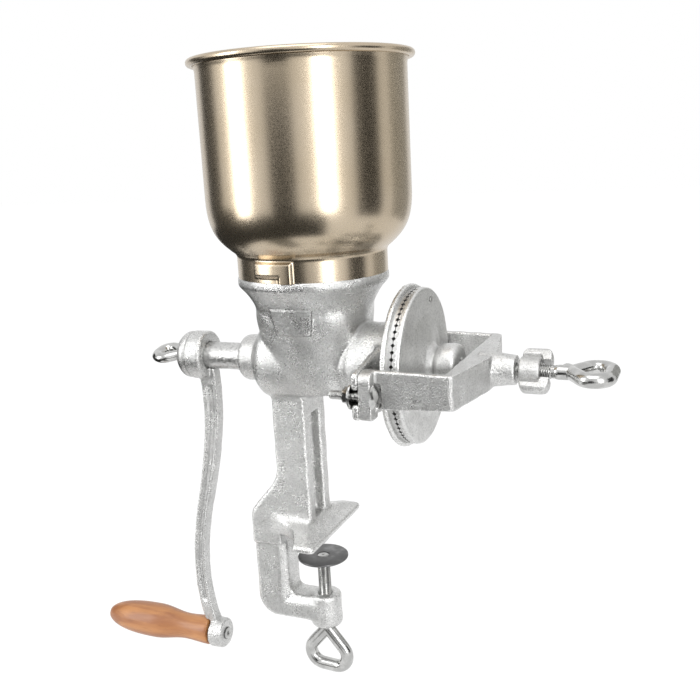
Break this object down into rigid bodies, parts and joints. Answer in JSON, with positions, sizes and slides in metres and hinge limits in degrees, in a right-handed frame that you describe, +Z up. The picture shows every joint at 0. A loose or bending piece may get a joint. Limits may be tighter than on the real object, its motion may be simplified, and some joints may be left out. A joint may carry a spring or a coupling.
{
  "type": "hand grain mill",
  "caption": "Cast-iron hand grain mill with a high round hopper, crank with wooden grip, grinding plates in a screw-adjusted yoke, and a screw clamp for a table edge.",
  "frame": {"origin": "middle of the upper jaw's contact face, on the clamp screw's axis", "axes": "+X along the shaft towards the grinding plates, +Z up, the table's top under the jaw is at z = 0"},
  "size_m": [0.4181, 0.152, 0.4572],
  "materials": {
    "tinned_casting": "tinned sand casting, silvery and satin with a fine grain",
    "plate_iron": "tinned hard iron, ground on the edges",
    "hopper_sheet": "spun sheet with a warm satin shine",
    "zinc_steel": "bright zinc plating",
    "pad_steel": "dark, dull steel",
    "grip_wood": "turned hardwood with a clear varnish"
  },
  "bodies": {
    "mill_frame": {"mill_body": "tinned_casting", "fixed_plate": "plate_iron", "fixed_plate_screws": "zinc_steel", "yoke": "tinned_casting", "yoke_bolts": "zinc_steel"},
    "thrust_ball": {"thrust_ball": "zinc_steel"},
    "rotor": {"auger_shaft": "tinned_casting", "moving_plate": "plate_iron", "moving_plate_rivets": "zinc_steel", "plate_carrier": "tinned_casting", "carrier_pin": "zinc_steel", "crank_arm": "tinned_casting", "grip_spindle": "zinc_steel", "grip_washer": "zinc_steel"},
    "adjusting_screw": {"adjusting_screw": "zinc_steel"},
    "lock_nut": {"lock_nut": "tinned_casting"},
    "crank_screw": {"crank_screw": "zinc_steel"},
    "grip": {"grip": "grip_wood"},
    "hopper": {"hopper": "hopper_sheet"},
    "clamp_pad": {"clamp_pad": "pad_steel"},
    "clamp_screw": {"clamp_screw": "zinc_steel"},
    "yoke_washer_near": {"yoke_washer_near": "zinc_steel"},
    "yoke_nut_near": {"yoke_nut_near": "zinc_steel"},
    "yoke_washer_far": {"yoke_washer_far": "zinc_steel"},
    "yoke_nut_far": {"yoke_nut_far": "zinc_steel"}
  },
  "joints": [
    {"name": "grind_adjust", "type": "slide", "parent": "mill_frame", "child": "thrust_ball", "axis": [1, 0, 0], "range_m": [-0.0003, 0.0027]},
    {"name": "shaft_spin", "type": "hinge", "parent": "thrust_ball", "child": "rotor", "pos_m": [0.1092, 0, 0.13], "axis": [1, 0, 0], "continuous": true},
    {"name": "adjusting_screw_turn", "type": "hinge", "parent": "thrust_ball", "child": "adjusting_screw", "pos_m": [0.15, 0, 0.13], "axis": [1, 0, 0], "range_deg": [-72.1, 648.1]},
    {"name": "lock_nut_turn", "type": "hinge", "parent": "mill_frame", "child": "lock_nut", "pos_m": [0.1585, 0, 0.13], "axis": [1, 0, 0], "range_deg": [-480, 720]},
    {"name": "crank_screw_turn", "type": "hinge", "parent": "rotor", "child": "crank_screw", "pos_m": [-0.105, 0, 0.13], "axis": [1, 0, 0], "range_deg": [-720, 0]},
    {"name": "grip_spin", "type": "hinge", "parent": "rotor", "child": "grip", "pos_m": [-0.155, 0, -0.1035], "axis": [1, 0, 0], "continuous": true},
    {"name": "hopper_twist", "type": "hinge", "parent": "mill_frame", "child": "hopper", "pos_m": [0.0065, 0, 0.2], "axis": [0, 0, 1], "range_deg": [-20, 0]},
    {"name": "clamp_travel", "type": "slide", "parent": "mill_frame", "child": "clamp_pad", "axis": [0, 0, 1], "range_m": [-0.0275, 0.003]},
    {"name": "clamp_screw_turn", "type": "hinge", "parent": "clamp_pad", "child": "clamp_screw", "pos_m": [0, 0, -0.06], "axis": [0, 0, 1], "range_deg": [-6601, 721]},
    {"name": "yoke_washer_near_slide", "type": "slide", "parent": "mill_frame", "child": "yoke_washer_near", "axis": [1, 0, 0], "range_m": [-0.008, 0]},
    {"name": "yoke_nut_near_turn", "type": "hinge", "parent": "yoke_washer_near", "child": "yoke_nut_near", "pos_m": [0.056, -0.0645, 0.125], "axis": [1, 0, 0], "range_deg": [-2881, 1]},
    {"name": "yoke_washer_far_slide", "type": "slide", "parent": "mill_frame", "child": "yoke_washer_far", "axis": [1, 0, 0], "range_m": [-0.008, 0]},
    {"name": "yoke_nut_far_turn", "type": "hinge", "parent": "yoke_washer_far", "child": "yoke_nut_far", "pos_m": [0.056, 0.0645, 0.125], "axis": [1, 0, 0], "range_deg": [-2881, 1]}
  ],
  "couplings": [
    {"joint": "adjusting_screw_turn", "follows": "grind_adjust", "rad_per_m": 4188.8},
    {"joint": "clamp_screw_turn", "follows": "clamp_travel", "rad_per_m": 4188.8},
    {"joint": "yoke_nut_near_turn", "follows": "yoke_washer_near_slide", "rad_per_m": 6283.2},
    {"joint": "yoke_nut_far_turn", "follows": "yoke_washer_far_slide", "rad_per_m": 6283.2}
  ]
}
